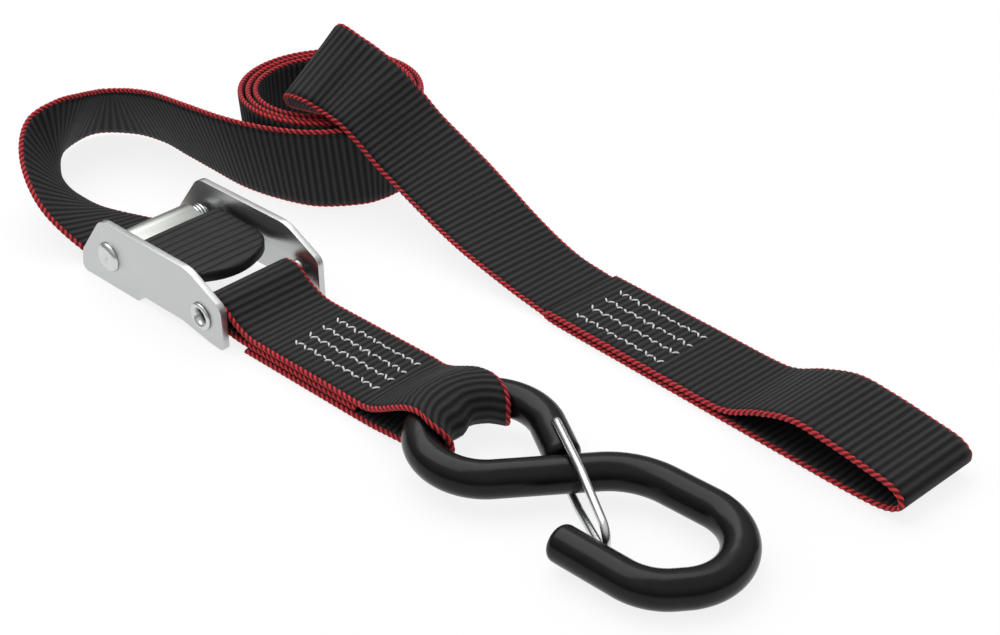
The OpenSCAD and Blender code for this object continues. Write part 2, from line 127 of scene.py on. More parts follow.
def new_object(name, verts_mm, faces, uv=None):
    """Smooth-shaded mesh object from millimetre points in the CAD's own frame before centring."""
    mesh = bpy.data.meshes.new(name)
    mesh.from_pydata(((np.asarray(verts_mm) + CENTRE_SHIFT) * MM).tolist(), [], [list(f) for f in faces])
    mesh.update()
    if uv is not None:
        layer = mesh.uv_layers.new(name="cloth")
        index = np.zeros(len(mesh.loops), np.int32)
        mesh.loops.foreach_get("vertex_index", index)
        layer.data.foreach_set("uv", np.asarray(uv, np.float32)[index].ravel())
    mesh.polygons.foreach_set("use_smooth", [True] * len(mesh.polygons))
    made = bpy.data.objects.new(name, mesh)
    bpy.context.scene.collection.objects.link(made)
    return made


def loft_faces(rings, sides):
    """Quads between closed rings of points, with a face at each end."""
    i = np.arange(rings - 1)[:, None] * sides
    k = np.arange(sides)[None, :]
    following = (k + 1) % sides
    quads = np.stack([i + k, i + following, i + sides + following, i + sides + k], axis=-1).reshape(-1, 4)
    return quads.tolist() + [list(range(sides))[::-1], [(rings - 1) * sides + j for j in range(sides)]]


def outward(obj):
    """Turns every face of a mesh to face out."""
    bm = bmesh.new()
    bm.from_mesh(obj.data)
    bmesh.ops.recalc_face_normals(bm, faces=bm.faces)
    bm.to_mesh(obj.data)
    bm.free()
    return obj


def finished(obj, body, slot, material, *replaced):
    """Gives a piece its material and lets it ride on its body; the slot argument is not used."""
    obj.data.materials.clear()
    obj.data.materials.append(material)
    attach(obj, body)
    if replaced:
        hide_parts(*replaced)
    return obj


def swept(name, path, radius, sides, reference):
    """Round rod along a path; radius is one number or one per point, in millimetres."""
    path = np.asarray(path, float)
    way = unit(np.gradient(path, axis=0))
    side = unit(np.cross(way, reference))
    other = np.cross(side, way)
    a = np.linspace(0, 2 * math.pi, sides, endpoint=False)
    r = np.broadcast_to(np.asarray(radius, float).reshape(-1, 1), (len(path), sides))
    ring = side[:, None] * np.cos(a)[None, :, None] + other[:, None] * np.sin(a)[None, :, None]
    verts = (path[:, None] + ring * r[..., None]).reshape(-1, 3)
    return outward(new_object(name, verts, loft_faces(len(path), sides)))


LATHE_SIDES = 64


def lathed(name, profile, origin, axis, reference):
    """Turned piece: profile is [radius, height] points from end to end of an outline, capped at both ends."""
    profile = np.asarray(profile, float)
    axis = unit(np.asarray(axis, float))
    side = unit(np.cross(axis, reference))
    other = np.cross(axis, side)
    a = np.linspace(0, 2 * math.pi, LATHE_SIDES, endpoint=False)
    ring = side[None, :] * np.cos(a)[:, None] + other[None, :] * np.sin(a)[:, None]
    verts = (origin + profile[:, None, :1] * ring[None] + profile[:, None, 1:] * axis).reshape(-1, 3)
    return outward(new_object(name, verts, loft_faces(len(profile), LATHE_SIDES)))


# ---- Webbing: ribbed body with a twisted edge along both sides ----

WEBBING_W = 25.4
WEBBING_T = 1.6
BODY_T = 1.08
RIB_H = 0.2
RIB_PITCH = 1.9
ROW_STEP = RIB_PITCH / 6
EDGE_R = 0.72
EDGE_PITCH = 3.3
EDGE_LOBE = 0.14
EDGE_SIDES = 12
EDGE_TUCK = 0.25
EDGE_COLUMNS = 5
BODY_COLUMNS = 14


def rib_height(s):
    """Height of the cross ribs: rounded crests with narrow grooves between them."""
    return RIB_H * np.abs(np.sin(math.pi * s / RIB_PITCH)) ** 0.55


def webbing_body(name, grid, s):
    """The ribbed cloth between its two red edges; s is each row's distance along it."""
    inset = (EDGE_R + EDGE_TUCK) / WEBBING_W
    t = np.linspace(inset, 1 - inset, BODY_COLUMNS)[None, :, None]
    columns = grid.shape[1]
    place = t[0, :, 0] * (columns - 1)
    low = np.minimum(place.astype(int), columns - 2)
    share = (place - low)[None, :, None]
    body = grid[:, low] * (1 - share) + grid[:, low + 1] * share
    normal = cloth_normals(body)
    lift = (BODY_T / 2 + rib_height(s))[:, None, None]
    upper, lower = body + normal * lift, body - normal * lift
    ring = np.concatenate([upper, lower[:, ::-1]], axis=1)
    u = np.linspace(0, 1, BODY_COLUMNS)
    across = np.concatenate([u, u[::-1]])
    uv = np.stack(np.broadcast_arrays(across[None, :], (s / RIB_PITCH)[:, None]), axis=-1)
    faces = loft_faces(len(ring), 2 * BODY_COLUMNS)
    return outward(new_object(name, ring.reshape(-1, 3), faces, uv.reshape(-1, 2)))


def twisted_edge(name, grid, side):
    """Two-strand twisted red edge along the first (side 0) or last (side -1) column."""
    rim = grid[:, side]
    inner = grid[:, 1] if side == 0 else grid[:, -2]
    inward = unit(inner - rim)
    centre = rim + inward * EDGE_R
    normal = cloth_normals(grid)[:, side]
    s = lengths_along(centre)
    a = np.linspace(0, 2 * math.pi, EDGE_SIDES, endpoint=False)
    twist = 2 * math.pi * s / EDGE_PITCH
    lobes = np.cos(2 * (a[None, :] - twist[:, None]))
    r = EDGE_R * (1 - EDGE_LOBE + EDGE_LOBE * lobes)
    ring = inward[:, None] * np.cos(a)[None, :, None] + normal[:, None] * np.sin(a)[None, :, None]
    verts = centre[:, None] + ring * r[..., None]
    uv = np.stack([np.broadcast_to(a[None, :] / (2 * math.pi), r.shape), s[:, None] / EDGE_PITCH + 0 * r], axis=-1)
    return outward(new_object(name, verts.reshape(-1, 3), loft_faces(len(s), EDGE_SIDES), uv.reshape(-1, 2)))


def set_width(left, right, steps):
    """Rows of two edge points, the webbing's width apart, from listed edge points."""
    a, b = smooth_curve(left, steps), smooth_curve(right, steps)
    middle, half = (a + b) / 2, unit(a - b) * WEBBING_W / 2
    return np.stack([middle + half, middle - half], axis=1)


# ---- Procedural materials ----

class Shader:
    """A node material under construction."""

    def __init__(self, name, **constants):
        self.material = bpy.data.materials.new(name)
        self.material.use_nodes = True
        self.tree = self.material.node_tree
        self.surface = self.tree.nodes["Principled BSDF"]
        for socket, value in constants.items():
            self.surface.inputs[socket.replace("_", " ")].default_value = value

    def add(self, kind, inputs=None, **settings):
        node = self.tree.nodes.new("ShaderNode" + kind)
        for key, value in settings.items():
            setattr(node, key, value)
        for key, value in (inputs or {}).items():
            if hasattr(value, "links"):
                self.tree.links.new(value, node.inputs[key])
            else:
                node.inputs[key].default_value = value
        return node

    def math(self, operation, a, b=0.0):
        return self.add("Math", {0: a, 1: b}, operation=operation).outputs[0]

    def uv(self):
        return self.add("UVMap", uv_map="cloth").outputs["UV"]

    def place(self):
        return self.add("TexCoord").outputs["Object"]

    def scaled(self, vector, scale):
        return self.add("Mapping", {"Vector": vector, "Scale": scale}).outputs["Vector"]

    def noise(self, vector, scale, detail=3.0, roughness=0.55):
        node = self.add("TexNoise", {"Vector": vector, "Scale": scale, "Detail": detail, "Roughness": roughness})
        return node.outputs["Fac"]

    def ramp(self, factor, stops):
        node = self.add("ValToRGB", {"Fac": factor})
        elements = node.color_ramp.elements
        while len(elements) < len(stops):
            elements.new(0.5)
        for element, (position, colour) in zip(elements, stops):
            element.position = position
            element.color = (*colour, 1.0)
        return node.outputs["Color"]

    def mix(self, factor, a, b):
        """Blend of two colours; sockets 6 and 7 are the colour mix's A and B, output 2 its result."""
        node = self.add("Mix", data_type="RGBA")
        for key, value in ((0, factor), (6, a), (7, b)):
            if hasattr(value, "links"):
                self.tree.links.new(value, node.inputs[key])
            else:
                node.inputs[key].default_value = value
        return node.outputs[2]

    def bump(self, height, strength, distance):
        return self.add("Bump", {"Height": height, "Strength": strength, "Distance": distance}).outputs["Normal"]

    def join(self, socket, value):
        self.tree.links.new(value, self.surface.inputs[socket])


WARPS_ACROSS = 21


def webbing_material():
    """Black polyester: painted light on the dull crests, painted shade in the grooves, fine yarns along each rib."""
    sh = Shader("webbing_black", Specular_IOR_Level=0.16, Sheen_Weight=0.04, Sheen_Roughness=0.5)
    uv = sh.uv()
    parts = sh.add("SeparateXYZ", {"Vector": uv})
    # painted light and shade: lighter on each rib's crest, darker in the grooves between ribs
    painted_rib_light = sh.math("ABSOLUTE", sh.math("SINE", sh.math("MULTIPLY", parts.outputs["Y"], math.pi)))
    yarn = sh.noise(sh.scaled(uv, (14.0, 5.0, 1.0)), 1.0, 4.0, 0.6)
    patch = sh.noise(sh.scaled(uv, (1.5, 0.12, 1.0)), 1.0, 2.0)
    tone = sh.math("MULTIPLY", painted_rib_light, sh.math("ADD", 0.72, sh.math("MULTIPLY", yarn, 0.5)))
    # ramp from painted shade in the grooves to painted light on the crests
    colour = sh.ramp(tone, [(0.2, (0.0022, 0.0021, 0.0025)), (0.7, (0.013, 0.0125, 0.014)),
                            (1.0, (0.036, 0.035, 0.039))])
    worn = sh.mix(sh.math("MULTIPLY", patch, 0.35), colour, (0.017, 0.016, 0.0155, 1))
    warp = sh.math("SINE", sh.math("MULTIPLY", parts.outputs["X"], 2 * math.pi * WARPS_ACROSS))
    relief = sh.math("ADD", sh.math("MULTIPLY", yarn, 0.7), sh.math("MULTIPLY", warp, 0.12))
    sh.join("Base Color", worn)
    sh.join("Roughness", sh.math("ADD", 0.58, sh.math("MULTIPLY", yarn, 0.28)))
    sh.join("Normal", sh.bump(relief, 0.55, 0.00012))
    return sh.material


def edge_material():
    """Red twisted edge thread, with painted shade in the grooves between strands and painted light on the strands."""
    sh = Shader("edge_red", Specular_IOR_Level=0.12, Sheen_Weight=0.05, Sheen_Roughness=0.5)
    uv = sh.uv()
    parts = sh.add("SeparateXYZ", {"Vector": uv})
    turn = sh.math("SUBTRACT", parts.outputs["X"], parts.outputs["Y"])
    # painted light and shade: bright on each strand, dark in the grooves between strands
    painted_strand_light = sh.math("ADD", 0.5, sh.math("MULTIPLY", 0.5, sh.math("COSINE", sh.math("MULTIPLY", turn, 4 * math.pi))))
    fibre = sh.noise(sh.scaled(uv, (9.0, 7.0, 1.0)), 1.0, 3.0, 0.6)
    length_tone = sh.noise(sh.scaled(uv, (0.0, 0.35, 1.0)), 1.0, 2.0)
    tone = sh.math("MULTIPLY", painted_strand_light, sh.math("ADD", 0.65, sh.math("MULTIPLY", fibre, 0.6)))
    # ramp from painted shade in the grooves to painted light on the strands
    colour = sh.ramp(tone, [(0.08, (0.045, 0.004, 0.006)), (0.4, (0.30, 0.014, 0.018)),
                            (0.9, (0.66, 0.05, 0.055))])
    dull = sh.mix(sh.math("MULTIPLY", length_tone, 0.4), colour, (0.20, 0.02, 0.03, 1))
    sh.join("Base Color", dull)
    sh.join("Roughness", sh.math("ADD", 0.55, sh.math("MULTIPLY", fibre, 0.3)))
    sh.join("Normal", sh.bump(fibre, 0.5, 0.0001))
    return sh.material


def zinc_material(name, tint, roughness, brushed):
    """Bright zinc plate: faint clouding and fine scratches."""
    sh = Shader(name, Metallic=1.0)
    place = sh.place()
    cloud = sh.noise(place, 90.0, 4.0)
    scratch = sh.noise(sh.scaled(place, brushed), 260.0, 5.0, 0.65)
    bright = tuple(min(1.0, 1.08 * c) for c in tint)
    colour = sh.mix(cloud, (*tint, 1), (*bright, 1))
    sh.join("Base Color", colour)
    unevenness = sh.math("ADD", sh.math("MULTIPLY", cloud, 0.14), sh.math("MULTIPLY", scratch, 0.10))
    sh.join("Roughness", sh.math("ADD", roughness - 0.1, unevenness))
    sh.join("Normal", sh.bump(scratch, 0.12, 0.00006))
    return sh.material


def pad_material():
    """Charcoal moulded grip with a fine grain, paler where it is rubbed."""
    sh = Shader("pad_charcoal", Specular_IOR_Level=0.2)
    place = sh.place()
    grain = sh.noise(place, 2600.0, 2.0)
    rub = sh.noise(place, 120.0, 4.0)
    colour = sh.ramp(rub, [(0.3, (0.0135, 0.0128, 0.0132)), (0.75, (0.023, 0.022, 0.0225))])
    sh.join("Base Color", colour)
    sh.join("Roughness", sh.math("ADD", 0.42, sh.math("MULTIPLY", rub, 0.2)))
    sh.join("Normal", sh.bump(grain, 0.25, 0.00008))
    return sh.material


def vinyl_material():
    """Glossy black dipped vinyl with a soft unevenness and a few dull marks."""
    sh = Shader("vinyl_black", Specular_IOR_Level=0.2, Coat_Weight=0.06, Coat_Roughness=0.15)
    place = sh.place()
    swell = sh.noise(place, 150.0, 2.0)
    marks = sh.noise(place, 900.0, 4.0, 0.7)
    colour = sh.ramp(swell, [(0.3, (0.0028, 0.0027, 0.0029)), (0.8, (0.0055, 0.0052, 0.0055))])
    sh.join("Base Color", colour)
    dull = sh.add("MapRange", {"Value": marks, "From Min": 0.55, "From Max": 0.8,
                               "To Min": 0.24, "To Max": 0.42}).outputs[0]
    sh.join("Roughness", dull)
    sh.join("Normal", sh.bump(swell, 0.18, 0.0006))
    return sh.material


def thread_material():
    """White polyester thread with fine fibres."""
    sh = Shader("thread_white", Specular_IOR_Level=0.3, Sheen_Weight=0.3)
    place = sh.place()
    fibre = sh.noise(place, 4000.0, 3.0, 0.6)
    colour = sh.ramp(fibre, [(0.25, (0.50, 0.50, 0.49)), (0.7, (0.82, 0.82, 0.80))])
    sh.join("Base Color", colour)
    sh.join("Roughness", sh.math("ADD", 0.6, sh.math("MULTIPLY", fibre, 0.25)))
    sh.join("Normal", sh.bump(fibre, 0.5, 0.0001))
    return sh.material


webbing_black = webbing_material()
edge_red = edge_material()
thread_white = thread_material()
zinc_frame = zinc_material("zinc_frame", (0.53, 0.54, 0.535), 0.32, (1.0, 1.0, 6.0))
zinc_cam = zinc_material("zinc_cam", (0.42, 0.43, 0.41), 0.38, (1.0, 6.0, 1.0))
zinc_rivet = zinc_material("zinc_rivet", (0.62, 0.63, 0.63), 0.26, (1.0, 1.0, 1.0))
steel_wire = zinc_material("steel_wire", (0.62, 0.63, 0.64), 0.24, (1.0, 1.0, 8.0))
hook_steel = zinc_material("hook_steel", (0.45, 0.45, 0.46), 0.40, (1.0, 1.0, 1.0))
pad_charcoal = pad_material()
vinyl_black = vinyl_material()

# ---- Camera, in place before the webbing ----

CAMERA_TILT = 32.5
CAMERA_AT = np.array([0.0, -352.7, 224.7])
LENS_MM = 61.2
SENSOR_MM = 36.0


def make_camera():
    """The camera where the object was seen from, level across and tilted down."""
    data = bpy.data.cameras.new("camera")
    data.sensor_width = SENSOR_MM
    data.lens = LENS_MM
    data.clip_start = 0.01
    camera = bpy.data.objects.new("camera", data)
    camera.location = ((CAMERA_AT + CENTRE_SHIFT) * MM).tolist()
    camera.rotation_euler = (math.radians(90 - CAMERA_TILT), 0, 0)
    bpy.context.scene.collection.objects.link(camera)
    bpy.context.scene.camera = camera


make_camera()

# ---- Long webbing: tail from the buckle, roll, bend, run and soft loop ----

BUCKLE_W = 32.3
BASE_T = 1.6
SLOT_V = (BUCKLE_W - WEBBING_W) / 2
SLOT_W = BASE_T + 0.1 + WEBBING_T / 2
LOW_Z = WEBBING_T / 2
LAYER = WEBBING_T + 0.1
MID_Z = LOW_Z + LAYER
TOP_Z = MID_Z + LAYER
EDGE_STEPS = 24

# Both edges of each stretch that isn't flat, given one by one: points on its left or top edge, then on its right or
# lower edge
tail_left = [[-108, 27, 4], [-119, 34.5, 12], [-126, 47.5, 19], [-127, 60.5, 24], [-121.5, 70.5, 25.2],
             [-116.5, 78.5, 23.7], [-113.5, 84.5, 21.8], [-111.5, 87, 21], [-108, 86.5, 21.2],
             [-103.5, 84, 22.3], [-96.5, 79.5, 23.4], [-86.5, 71, 24.3], [-75, 62, 24.9], [-63, 55.5, 25.2],
             [-51, 52.3, 25.4], [-40, 53.8, 25.5]]
tail_right = [[-91.5, 45.5, 1.8], [-107, 52.5, 1.3], [-115.5, 59.5, 1.1], [-120.5, 65, 0.8], [-124, 71, 0.6],
              [-126.5, 78, 0.7], [-126.5, 89.5, 0.8], [-120, 100, 0.8], [-108, 100.5, 0.8], [-98, 95, 0.7],
              [-89.5, 86.5, 0.5], [-80.5, 77, 0.45], [-71, 67.5, 0.3], [-60.5, 60.5, 0.2], [-49.7, 56.3, 0.2],
              [-38.2, 57.3, 0.2]]
bend_left = [[-31.8, 84, 26.4], [-38, 89.5, 28.5], [-41.5, 86.5, 32.5], [-43, 82, 37],
             [-44.5, 78.5, 42], [-42.5, 76.5, 45], [-38, 74.5, 43]]
bend_right = [[-31.4, 84.5, 1.2], [-37.5, 92, 3.4], [-46, 92.5, 8.5], [-54, 86, 14.5],
              [-58, 74, 22.5], [-57.5, 64, 29.5], [-52.5, 57.5, 31]]
run_left = [[-33, 72.5, 40], [-26, 69, 35.5], [-20.7, 66, 30], [-15.5, 62.5, 25], [-9.3, 57.5, 20.6],
            [-3, 51, 16.7], [3.2, 44, 12.7], [9, 37.5, 8.8], [15, 31, 5.2], [21, 24.6, 2.5], [28, 17.5, 1.2]]
run_right = [[-48, 55.5, 29.2], [-43, 52, 27], [-38, 49, 23], [-33.3, 45.4, 18.5], [-28.2, 41.2, 14.7],
             [-22.6, 35.5, 11.5], [-16.7, 28.5, 8.9], [-10.4, 21, 6.7], [-3.5, 13.5, 4.8], [3.7, 6.3, 2.8],
             [10, 0, 1.3]]
loop_side = [[3, LOW_Z], [25, LOW_Z], [50, LOW_Z], [75, LOW_Z + 0.03], [90, LOW_Z + 0.1], [101, 1.7], [105, 4.4],
             [102.5, 7.4], [95, 8.7], [84, 10], [75, 10.2], [66, 7.2], [58, 3.4], [51, MID_Z], [35, MID_Z],
             [18, MID_Z], [0, MID_Z]]

# The roll's turns: how far the webbing's middle is from the roll's centre, by the angle it has turned through
ROLL_FROM, ROLL_TO, ROLL_STEP = -60, 1060, 8.0
ROLL_LIFT = 0.05
ROLL_FLARE = 1.0
roll_radii = [(-60, 25.6), (0, 24.7), (90, 24.1), (180, 23.9), (270, 22.9), (360, 22.9), (450, 22.4),
              (540, 22.15), (630, 20.6), (720, 21.1), (810, 20.7), (900, 20.4), (990, 18.2), (1060, 17.4)]


def roll_rows():
    """Left (top) and right (bottom) edges of the wound turns; the outer turns flare out at the top."""
    angles = np.arange(ROLL_FROM + ROLL_STEP, ROLL_TO, ROLL_STEP)
    known, radii = np.array(roll_radii, float).T
    r = np.interp(angles, known, radii)
    window = np.hanning(11)[1:-1]
    r = np.convolve(np.pad(r, len(window) // 2, mode="edge"), window / window.sum(), mode="valid")
    lean = ROLL_FLARE * (ROLL_TO - angles) / (ROLL_TO - ROLL_FROM)
    lift = ROLL_LIFT + 0.35 * np.maximum(0.0, np.sin(np.radians(angles * 0.31)))
    rows = []
    for a, radius, flare, rise in zip(np.radians(angles), r, lean, lift):
        way = np.array([math.cos(a), math.sin(a), 0])
        top = ROLL_PLACE + way * (radius + flare) + UP * (WEBBING_W + rise)
        foot = ROLL_PLACE + way * (radius - flare) + UP * rise
        rows.append((top, foot))
    return [r[0] for r in rows], [r[1] for r in rows]


def long_strap_rows():
    """The long webbing's two edges from under the cam to the end sewn back on the run."""
    slot_rows = [20, 8, -1.5]
    left = [in_buckle([u, SLOT_V, SLOT_W]) for u in slot_rows]
    right = [in_buckle([u, SLOT_V + WEBBING_W, SLOT_W]) for u in slot_rows]
    roll_top, roll_foot = roll_rows()
    left += tail_left + roll_top + bend_left + run_left + [in_loop([p[0], WEBBING_W, p[1]]) for p in loop_side]
    right += tail_right + roll_foot + bend_right + run_right + [in_loop([p[0], 0, p[1]]) for p in loop_side]
    return set_width(left, right, EDGE_STEPS)


long_grid, long_s = resampled(long_strap_rows(), ROW_STEP)
long_strap = webbing_body("long_strap", long_grid, long_s)
finished(long_strap, "strap", "webbing", webbing_black, "long_strap_slot", "long_strap_tail", "long_strap_roll",
         "long_strap_bend", "long_strap_run", "long_strap_loop")
for side, label in ((0, "left"), (-1, "right")):
    edge = twisted_edge("long_strap_edge_" + label, spread(long_grid, EDGE_COLUMNS), side)
    finished(edge, "strap", "webbing", edge_red)

# ---- Hook webbing: round the anchor pin, sewn in three layers, and round the hook's eye ----

CAM_AT = np.array([10.2, 0, 8.4])
ANCHOR_AT = np.array([47.0, 0, 6.9])
ANCHOR_R = 2.3
COAT_R = 4.175
EYE_R = 14.0
PIN_TURN_R = ANCHOR_R + 0.1 + WEBBING_T / 2
ROD_TURN_R = COAT_R + 0.3 + WEBBING_T / 2
NEAR_V = 3.1
SEWN_START, SEWN_END = 60, 97
WRAP_FROM, WRAP_TO = 172, 73
WRAP_MORE_FROM, WRAP_MORE_TO = 36, -28
GATHER_AT, GATHER_WIDTH, GATHER_DEPTH = 0.42, 0.13, 3.0
PLEATS = 5.5
UNDER_SLIP = -0.4
COLUMNS = 15
across = np.linspace(0, 1, COLUMNS)


def flat_row(u, w, slip=0.0):
    """One straight row at u along the buckle's own axis and w up."""
    v = NEAR_V + slip + WEBBING_W * across
    return in_buckle(np.stack([np.full(COLUMNS, float(u)), v, np.full(COLUMNS, float(w))], axis=1))


def wrap_row(rise):
    """One row over the rod; inside the eye the webbing gathers into a fold that hangs off the rod."""
    c, s = math.cos(math.radians(rise)), math.sin(math.radians(rise))
    start, end = WRAP_FROM + WRAP_MORE_FROM * c, WRAP_TO + WRAP_MORE_TO * c
    a = np.radians(start + (end - start) * across)
    fold = GATHER_DEPTH * np.exp(-np.abs((across - GATHER_AT) / GATHER_WIDTH) ** 1.5)
    pleat = 0.3 + 0.3 * np.cos(across * 2 * math.pi * PLEATS)
    r = EYE_R - ROD_TURN_R * c - (fold + pleat) * max(0.0, c) ** 1.5
    return in_hook(np.stack([r * np.cos(a), EYE_R + r * np.sin(a), np.full(COLUMNS, ROD_TURN_R * s)], 1))


def rising(flat, wrap, shares, ripple):
    """Rows between the flat stretch and the rod, with pleats that grow towards the rod."""
    made = []
    for t in shares:
        eased = t * t * (3 - 2 * t)
        row = flat * (1 - t) + wrap * t
        row[:, 2] = flat[:, 2] * (1 - eased) + wrap[:, 2] * eased
        row[:, 2] += ripple * eased * np.cos(across * 2 * math.pi * PLEATS)
        made.append(row)
    return made


def hook_webbing_rows():
    """Rows from the hidden inner end, round the anchor pin, over the stitching, round the rod and back below."""
    rows = [flat_row(u, MID_Z) for u in (SEWN_END, 85, 72, 62, 57)] + [flat_row(53, MID_Z + 0.4)]
    for a in np.radians(np.arange(-80, -261, -12)):
        rows.append(flat_row(ANCHOR_AT[0] + PIN_TURN_R * math.cos(a), ANCHOR_AT[2] + PIN_TURN_R * math.sin(a)))
    rows += [flat_row(50, 9.9), flat_row(53, 7.9), flat_row(56, 6), flat_row(SEWN_START, 4.5)]
    rows += [flat_row(u, TOP_Z) for u in (65, 75, 86, SEWN_END)]
    rows += rising(flat_row(SEWN_END + 1, TOP_Z), wrap_row(90), (0.15, 0.3, 0.45, 0.6, 0.75, 0.9), 0.45)
    rows += [wrap_row(rise) for rise in np.arange(90, -91, -12)]
    rows += rising(flat_row(SEWN_END + 1, LOW_Z, UNDER_SLIP), wrap_row(-90), (0.85, 0.65, 0.45, 0.25), 0.0)
    rows += [flat_row(u, LOW_Z, UNDER_SLIP) for u in (SEWN_END, 85, 72, 59)]
    return np.array(rows)


def lengthwise_smooth(grid, steps):
    """A smooth curve down every column."""
    return np.stack([smooth_curve(grid[:, k], steps) for k in range(grid.shape[1])], axis=1)


hook_grid, hook_s = resampled(lengthwise_smooth(hook_webbing_rows(), 12), ROW_STEP)
hook_webbing = webbing_body("hook_strap", hook_grid, hook_s)
finished(hook_webbing, "buckle", "webbing", webbing_black, "hook_webbing")
for side, label in ((0, "near"), (-1, "far")):
    edge = twisted_edge("hook_strap_edge_" + label, hook_grid, side)
    finished(edge, "buckle", "webbing", edge_red)

# ---- Stitching: rows of white lock stitches, pulled down at their ends ----

STITCH_R = 0.25
STITCH_ROWS, STITCHES_PER_ROW = 4, 18
STITCH_SIDES, STITCH_RINGS = 8, 9


def stitch_rows(name, to_world, x0, x1, y0, y1, top):
    """One mesh of slightly uneven slanted stitches in rows along the strap."""
    chance = np.random.default_rng(7)
    verts, faces = [], []
    pitch = (x1 - x0) / STITCHES_PER_ROW
    around = np.linspace(0, 2 * math.pi, STITCH_SIDES, endpoint=False)
    for r in range(STITCH_ROWS):
        y = y0 + (y1 - y0) * r / (STITCH_ROWS - 1)
        for k in range(STITCHES_PER_ROW):
            slant = (0.5 if k % 2 else -0.5) * (0.5 + chance.random())
            length = pitch * (0.62 + 0.25 * chance.random())
            x = x0 + pitch * (k + 0.5) + 0.3 * (chance.random() - 0.5)
            wobble = 0.5 * (chance.random() - 0.5)
            t = np.linspace(-1, 1, STITCH_RINGS)
            line = np.stack([x + t * length / 2, y + wobble + t * slant, top + 0.14 - 0.36 * t ** 4], axis=1)
            r_here = STITCH_R * (1 - 0.55 * t ** 4)
            way = unit(np.gradient(line, axis=0))
            side = unit(np.cross(way, UP))
            other = np.cross(side, way)
            ring = side[:, None] * np.cos(around)[None, :, None] + other[:, None] * np.sin(around)[None, :, None]
            start = len(verts) * STITCH_RINGS * STITCH_SIDES
            verts.append((line[:, None] + ring * r_here[:, None, None]).reshape(-1, 3))
            faces += [[start + i for i in f] for f in loft_faces(STITCH_RINGS, STITCH_SIDES)]
    return outward(new_object(name, to_world(np.concatenate(verts)), faces))


SURFACE = BODY_T / 2 + RIB_H
hook_stitches = stitch_rows("hook_stitches", in_buckle, 69, 98, NEAR_V + 7, NEAR_V + 20, TOP_Z + SURFACE)
finished(hook_stitches, "buckle", "thread", thread_white, "hook_stitching")
loop_stitches = stitch_rows("loop_stitches", in_loop, 6, 35, 4.5, 19.5, MID_Z + SURFACE)
finished(loop_stitches, "strap", "thread", thread_white, "loop_stitching")

# ---- Buckle ----


def softened(node, name, width, segments):
    """A copy of a CAD node with its flat faces joined and its sharp edges rounded."""
    copy = bpy.data.objects.new(name, nodes[node].data.copy())
    bpy.context.scene.collection.objects.link(copy)
    bm = bmesh.new()
    bm.from_mesh(copy.data)
    bmesh.ops.remove_doubles(bm, verts=bm.verts, dist=1e-6)
    bmesh.ops.dissolve_limit(bm, angle_limit=math.radians(1.0), verts=bm.verts, edges=bm.edges)
    bm.to_mesh(copy.data)
    bm.free()
    bevel = copy.modifiers.new("soft_edges", "BEVEL")
    bevel.width = width * MM
    bevel.segments = segments
    bevel.limit_method = "ANGLE"
    bevel.angle_limit = math.radians(35)
    bevel.use_clamp_overlap = True
    applied = bpy.data.meshes.new_from_object(copy.evaluated_get(bpy.context.evaluated_depsgraph_get()))
    copy.modifiers.clear()
    copy.data = applied
    bm = bmesh.new()
    bm.from_mesh(copy.data)
    for edge in bm.edges:
        if len(edge.link_faces) == 2 and edge.calc_face_angle(0.0) > math.radians(34):
            edge.smooth = False
    for face in bm.faces:
        face.smooth = True
    bm.to_mesh(copy.data)
    bm.free()
    return copy


buckle_shell = softened("buckle_frame", "buckle_shell", 0.35, 3)
finished(buckle_shell, "buckle", "zinc_plate", zinc_frame, "buckle_frame")
cam_body = softened("cam_lever", "cam_body", 0.12, 2)
finished(cam_body, "cam", "zinc_plate", zinc_cam, "cam_lever")

V_AXIS = BUCKLE_ROTATION @ np.array([0.0, 1.0, 0.0])
HEAD_R = 4.0


def rivet_profile(length):
    """Outline of the cam's rivet: domed head with a shallow dimple at both ends."""
    head = [[0, -0.75], [0.9, -0.8], [1.5, -1.05], [2.2, -1.2], [2.9, -1.1], [3.5, -0.8], [HEAD_R, -0.25],
            [HEAD_R, 0], [2.2, 0.02]]
    return head + [[r, length - h] for r, h in head[::-1]]


cam_rivet = lathed("cam_rivet", rivet_profile(BUCKLE_W), in_buckle(CAM_AT), V_AXIS, UP)
finished(cam_rivet, "buckle", "rivet_steel", zinc_rivet, "cam_pin")


def tube_profile(length):
    """Outline of the tubular anchor pin: its ends are rolled over in a smooth flare."""
    flare = [[3.55, -0.05], [3.62, -0.3], [3.45, -0.6], [3.05, -0.75], [2.6, -0.68], [2.25, -0.35],
             [1.95, 0.2], [1.75, 0.9], [1.7, 1.6]]
    outside = [[2.3, length - 0.02], [2.3, 0.02]]
    far_flare = [[r, length - h] for r, h in flare]
    return flare + far_flare[::-1] + outside


anchor_tube = lathed("anchor_tube", tube_profile(BUCKLE_W), in_buckle(ANCHOR_AT), V_AXIS, UP)


def close_profile(obj, rings):
    """Joins the first and last rings of a lathed outline instead of capping them."""
    bm = bmesh.new()
    bm.from_mesh(obj.data)
    caps = [f for f in bm.faces if len(f.verts) > 4]
    bmesh.ops.delete(bm, geom=caps, context="FACES_ONLY")
    bm.verts.ensure_lookup_table()
    last = (rings - 1) * LATHE_SIDES
    for k in range(LATHE_SIDES):
        j = (k + 1) % LATHE_SIDES
        bm.faces.new([bm.verts[last + k], bm.verts[last + j], bm.verts[j], bm.verts[k]]).smooth = True
    bmesh.ops.recalc_face_normals(bm, faces=bm.faces)
    bm.to_mesh(obj.data)
    bm.free()


close_profile(anchor_tube, len(tube_profile(BUCKLE_W)))
finished(anchor_tube, "buckle", "rivet_steel", zinc_rivet, "anchor_pin")

# ---- Thumb pad: a crowned tongue with moulded ribs, lofted from the hub to its rounded front ----

